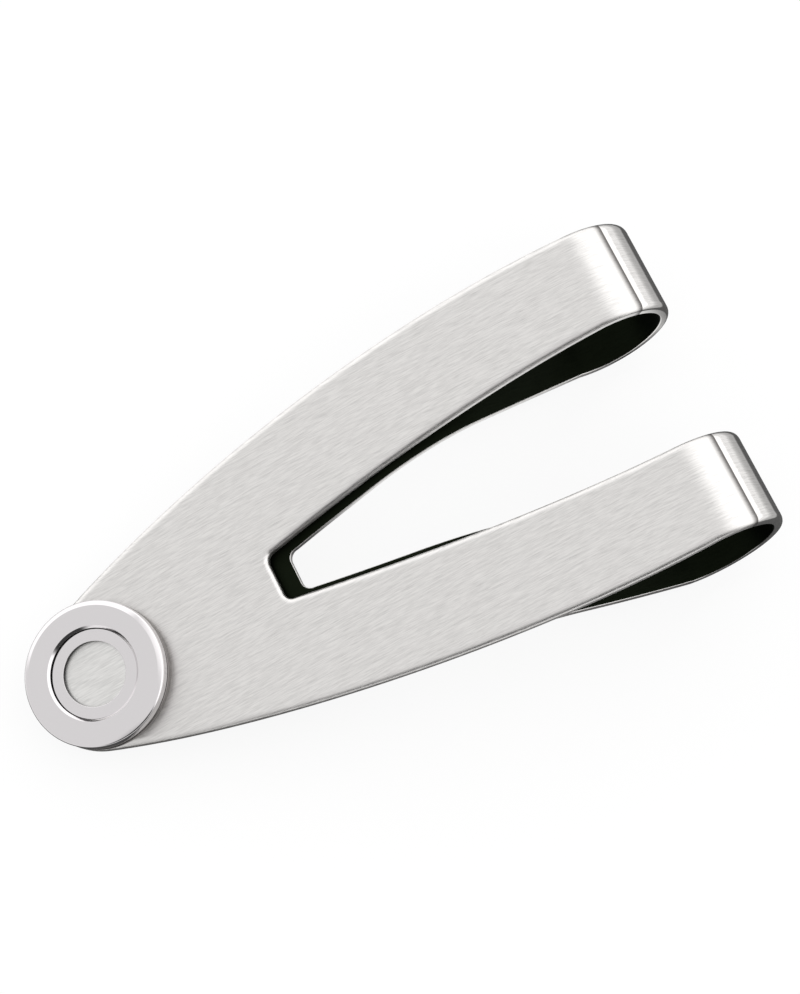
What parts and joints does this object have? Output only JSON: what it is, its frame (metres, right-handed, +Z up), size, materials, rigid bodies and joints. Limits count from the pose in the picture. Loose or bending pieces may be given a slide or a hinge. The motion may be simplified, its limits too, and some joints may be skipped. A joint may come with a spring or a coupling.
{
  "type": "money clip",
  "caption": "Money clip folded from one brushed steel sheet: V-shaped arms spread from a round polished medallion and fold under into a matching leaf that grips banknotes.",
  "frame": {"origin": "centre of the underside of the box around the clip as it lies on its folds and its leaf's lip", "axes": "+X from the medallion towards the folded ends of the arms, +Y towards the upper arm, +Z up, out of the side with the medallion"},
  "size_m": [0.0604, 0.028, 0.0115],
  "materials": {
    "brushed_sheet": "stainless spring steel, brushed along the clip",
    "brushed_fold": "stainless spring steel, brushed along the clip and round the fold",
    "polished_base": "turned and polished stainless steel, slightly dulled",
    "polished_bezel": "mirror-polished stainless steel",
    "brushed_disc": "stainless steel, brushed in the same direction as the sheet",
    "stud_steel": "stainless steel rivet, head ground flush"
  },
  "bodies": {
    "clip_front": {"front_plate": "brushed_sheet", "upper_bend": "brushed_fold", "lower_bend": "brushed_fold", "medallion_base": "polished_base", "medallion_bezel": "polished_bezel", "window_ring": "polished_bezel", "window_floor": "brushed_disc", "medallion_stud": "stud_steel"},
    "leaf": {"back_leaf": "brushed_sheet"}
  },
  "joints": [
    {"name": "leaf_spring", "type": "hinge", "parent": "clip_front", "child": "leaf", "pos_m": [0.02173, 0, 0.00066], "axis": [0, -1, 0], "range_deg": [0, 7], "stiffness_Nm_per_rad": 2.5}
  ]
}
